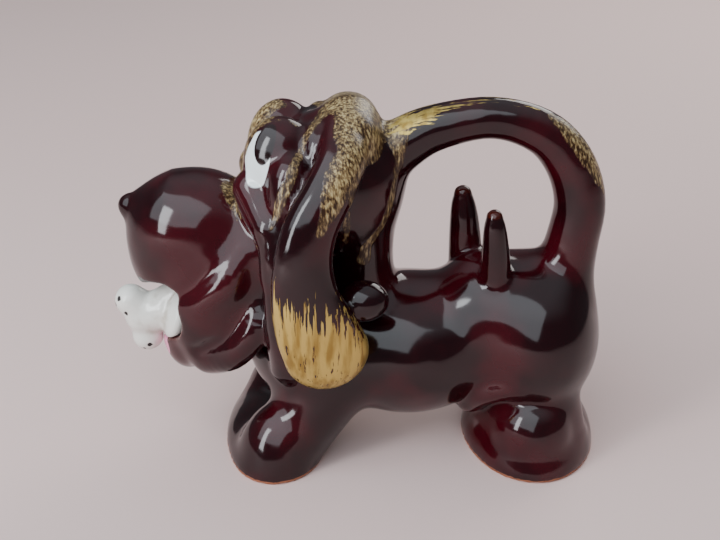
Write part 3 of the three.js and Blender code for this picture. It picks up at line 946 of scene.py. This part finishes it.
def white_glaze(colours):
    """White tin glaze on slip-cast earthenware: bright and glossy, blotched a little at random and darker in
    its hollows as painted shade, with a few pits where specks of iron burnt out."""
    material, tree = new_material("white_tin_glaze")
    place = add(tree, "ShaderNodeTexCoord").outputs["Object"]
    chips = add(tree, "ShaderNodeAttribute", attribute_name="chips").outputs["Fac"]
    ridge = add(tree, "ShaderNodeAttribute", attribute_name="ridge").outputs["Fac"]

    # Blotches of stain about 8 mm wide lie at random, and the colour is darker in the hollows as painted
    # shade.
    stains = add(tree, "ShaderNodeTexNoise", {"Vector": place, "Scale": 125, "Detail": 4}).outputs["Fac"]
    hollow = add(tree, "ShaderNodeMath", {0: ridge, 1: -0.5, 2: stains}, **TIMES_PLUS).outputs[0]
    stain_and_hollow_shade = add(tree, "ShaderNodeMapRange", {0: hollow, 1: 0.45, 2: 0.85}, **EASED).outputs[0]
    glaze = add(
        tree,
        "ShaderNodeMix",
        {"Factor": stain_and_hollow_shade, "A": linear(colours.bone), "B": linear(colours.bone_blotch_and_painted_shade)},
        **IN_COLOUR,
    ).outputs[MIXED]

    # The edge of a pit is ragged by about 1 mm.
    rough = add(tree, "ShaderNodeTexNoise", {"Vector": place, "Scale": 900, "Detail": 2}).outputs["Fac"]
    ragged = add(tree, "ShaderNodeMath", {0: rough, 1: 1.2, 2: chips}, **TIMES_PLUS).outputs[0]
    pit = add(tree, "ShaderNodeMapRange", {0: ragged, 1: 0.75, 2: 0.45}, **EASED).outputs[0]
    colour = add(
        tree, "ShaderNodeMix", {"Factor": pit, "A": glaze, "B": linear(colours.chip)}, **IN_COLOUR
    ).outputs[MIXED]
    gloss = add(tree, "ShaderNodeMath", {0: pit, 1: PIT_ROUGHER, 2: BONE_ROUGHNESS}, **TIMES_PLUS).outputs[0]

    # Its glaze lies in waves about 9 mm long.
    waves = add(tree, "ShaderNodeTexNoise", {"Vector": place, "Scale": 110, "Detail": 1}).outputs["Fac"]
    relief = add(tree, "ShaderNodeMath", {0: pit, 1: PITS_TO_WAVES, 2: waves}, **TIMES_PLUS).outputs[0]
    bump = add(
        tree, "ShaderNodeBump", {"Strength": 1.0, "Distance": BONE_WAVE_HEIGHT, "Height": relief}
    ).outputs[0]
    surface = add(
        tree,
        "ShaderNodeBsdfPrincipled",
        {"Base Color": colour, "Roughness": gloss, "IOR": BONE_IOR, "Normal": bump},
    )
    add(tree, "ShaderNodeOutputMaterial", {"Surface": surface.outputs[0]})
    return material


def matt_board(colour):
    """Matt studio board: even and pale."""
    material, tree = new_material("matt_board")
    surface = add(
        tree, "ShaderNodeBsdfPrincipled", {"Base Color": linear(colour), "Roughness": BOARD_ROUGHNESS}
    )
    add(tree, "ShaderNodeOutputMaterial", {"Surface": surface.outputs[0]})
    return material


class HOUND_OT_body(bpy.types.Operator):
    """Models and glazes the dog"""

    bl_idname = "hound.body"
    bl_label = "Dog"

    def execute(self, context):
        scene = context.scene
        cell = scene.hound_sizes.body_cell / MM
        floor = -CELLS_UNDER_TABLE * cell
        places, quads = skin(dog, (*DOG_GRID_LOW, floor), DOG_GRID_HIGH, cell)
        if len(quads) < FEWEST_DOG_FACETS:
            raise RuntimeError("The dog's surface has too few facets")
        _, _, bend = slopes(dog, places, DOG_RIDGE_REACH)
        body = mesh_object("glazed_hound", places, quads, paint(places, bend))
        body.data.materials.append(brown_glaze(scene.hound_colours))
        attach(body, "root")
        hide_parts("dog_body")
        return {"FINISHED"}


class HOUND_OT_bone(bpy.types.Operator):
    """Models and glazes the bone that stops the mouth"""

    bl_idname = "hound.bone"
    bl_label = "Bone stopper"

    def execute(self, context):
        scene = context.scene
        cell = scene.hound_sizes.bone_cell / MM
        places, quads = skin(bone, *BONE_GRID, cell)
        if len(quads) < FEWEST_BONE_FACETS:
            raise RuntimeError("The bone's surface has too few facets")
        _, _, bend = slopes(bone, places, BONE_RIDGE_REACH)
        q = (places[0], np.abs(places[1]), places[2])
        spots = [np.sqrt(sum((q[k] - c[k]) ** 2 for k in range(3))) - c[3] for c in BONE_CHIPS]
        ridge = np.clip(bend, -SHARPEST_RIDGE, SHARPEST_RIDGE)
        marks = {"ridge": ridge, "chips": np.minimum.reduce(spots)}
        stopper = mesh_object("white_bone", places, quads, marks)
        stopper.data.materials.append(white_glaze(scene.hound_colours))
        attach(stopper, "root")
        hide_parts("bone_stopper")
        return {"FINISHED"}


class HOUND_OT_stage(bpy.types.Operator):
    """Lays the table, hangs the lights and sets the camera"""

    bl_idname = "hound.stage"
    bl_label = "Stage"

    def execute(self, context):
        scene = context.scene
        stage = scene.hound_stage
        self.lay_floor(stage)
        for lamp in LAMPS:
            self.hang_light(**lamp)
        scene.world = self.soft_room()
        self.set_camera(scene, stage)
        return {"FINISHED"}

    def lay_floor(self, stage):
        mesh = bpy.data.meshes.new("table")
        half = TABLE_WIDTH / 2
        corners = [(-half, -half, 0), (half, -half, 0), (half, half, 0), (-half, half, 0)]
        mesh.from_pydata(corners, [], [(0, 1, 2, 3)])
        mesh.materials.append(matt_board(stage.floor))
        floor = bpy.data.objects.new("table", mesh)
        bpy.context.scene.collection.objects.link(floor)

    def soft_room(self):
        """A dim room that grows bright overhead without an edge."""
        world = bpy.data.worlds.new("soft_room")
        world.use_nodes = True
        tree = world.node_tree
        tree.nodes.clear()
        way = add(tree, "ShaderNodeTexCoord").outputs["Generated"]
        up = add(tree, "ShaderNodeSeparateXYZ", {"Vector": way}).outputs["Z"]
        glow = add(
            tree, "ShaderNodeMapRange", {0: up, 1: 0.45, 2: 0.95, 3: ROOM_DIM, 4: ROOM_BRIGHT}, **EASED
        ).outputs[0]
        sky = add(tree, "ShaderNodeBackground", {"Color": linear(ROOM_COLOUR), "Strength": glow})
        add(tree, "ShaderNodeOutputWorld", {"Surface": sky.outputs[0]})
        return world

    def hang_light(self, name, at, aim, width, height, watts, colour):
        lamp = bpy.data.lights.new(name, "AREA")
        lamp.shape = "RECTANGLE"
        lamp.size = width
        lamp.size_y = height
        lamp.energy = watts
        lamp.color = linear(colour)[:3]
        made = bpy.data.objects.new(name, lamp)
        made.location = at
        made.rotation_euler = (Vector(aim) - Vector(at)).to_track_quat("-Z", "Y").to_euler()
        bpy.context.scene.collection.objects.link(made)

    def set_camera(self, scene, stage):
        lens = bpy.data.cameras.new("camera")
        lens.sensor_width = SENSOR_WIDTH
        lens.lens = stage.focal
        made = bpy.data.objects.new("camera", lens)
        target = Vector((-MIDDLE * MM, 0, AIM_HEIGHT))
        back = Vector((0, -math.cos(stage.elevation), math.sin(stage.elevation)))
        made.location = target + back * stage.distance
        made.rotation_euler = (-back).to_track_quat("-Z", "Y").to_euler()
        scene.collection.objects.link(made)
        scene.camera = made


class HOUND_PT_panel(bpy.types.Panel):
    """Lists the jug's sizes, colours and steps"""

    bl_idname = "HOUND_PT_panel"
    bl_label = "Hound jug"
    bl_space_type = "VIEW_3D"
    bl_region_type = "UI"
    bl_category = "Hound jug"

    def draw(self, context):
        for group in ("hound_sizes", "hound_colours", "hound_stage"):
            box = self.layout.box()
            settings = getattr(context.scene, group)
            for key in settings.__annotations__:
                box.prop(settings, key)
        for operator in OPERATORS:
            self.layout.operator(operator.bl_idname)


GROUPS = {"hound_sizes": HoundSizes, "hound_colours": HoundColours, "hound_stage": StageSettings}
OPERATORS = (HOUND_OT_body, HOUND_OT_bone, HOUND_OT_stage)


def register():
    for name, group in GROUPS.items():
        bpy.utils.register_class(group)
        setattr(bpy.types.Scene, name, bpy.props.PointerProperty(type=group))
    for operator in OPERATORS:
        bpy.utils.register_class(operator)
    bpy.utils.register_class(HOUND_PT_panel)


def unregister():
    bpy.utils.unregister_class(HOUND_PT_panel)
    for operator in reversed(OPERATORS):
        bpy.utils.unregister_class(operator)
    for name, group in reversed(GROUPS.items()):
        delattr(bpy.types.Scene, name)
        bpy.utils.unregister_class(group)


def main():
    register()
    bpy.ops.hound.body()
    bpy.ops.hound.bone()
    bpy.ops.hound.stage()


if __name__ == "__main__":
    main()
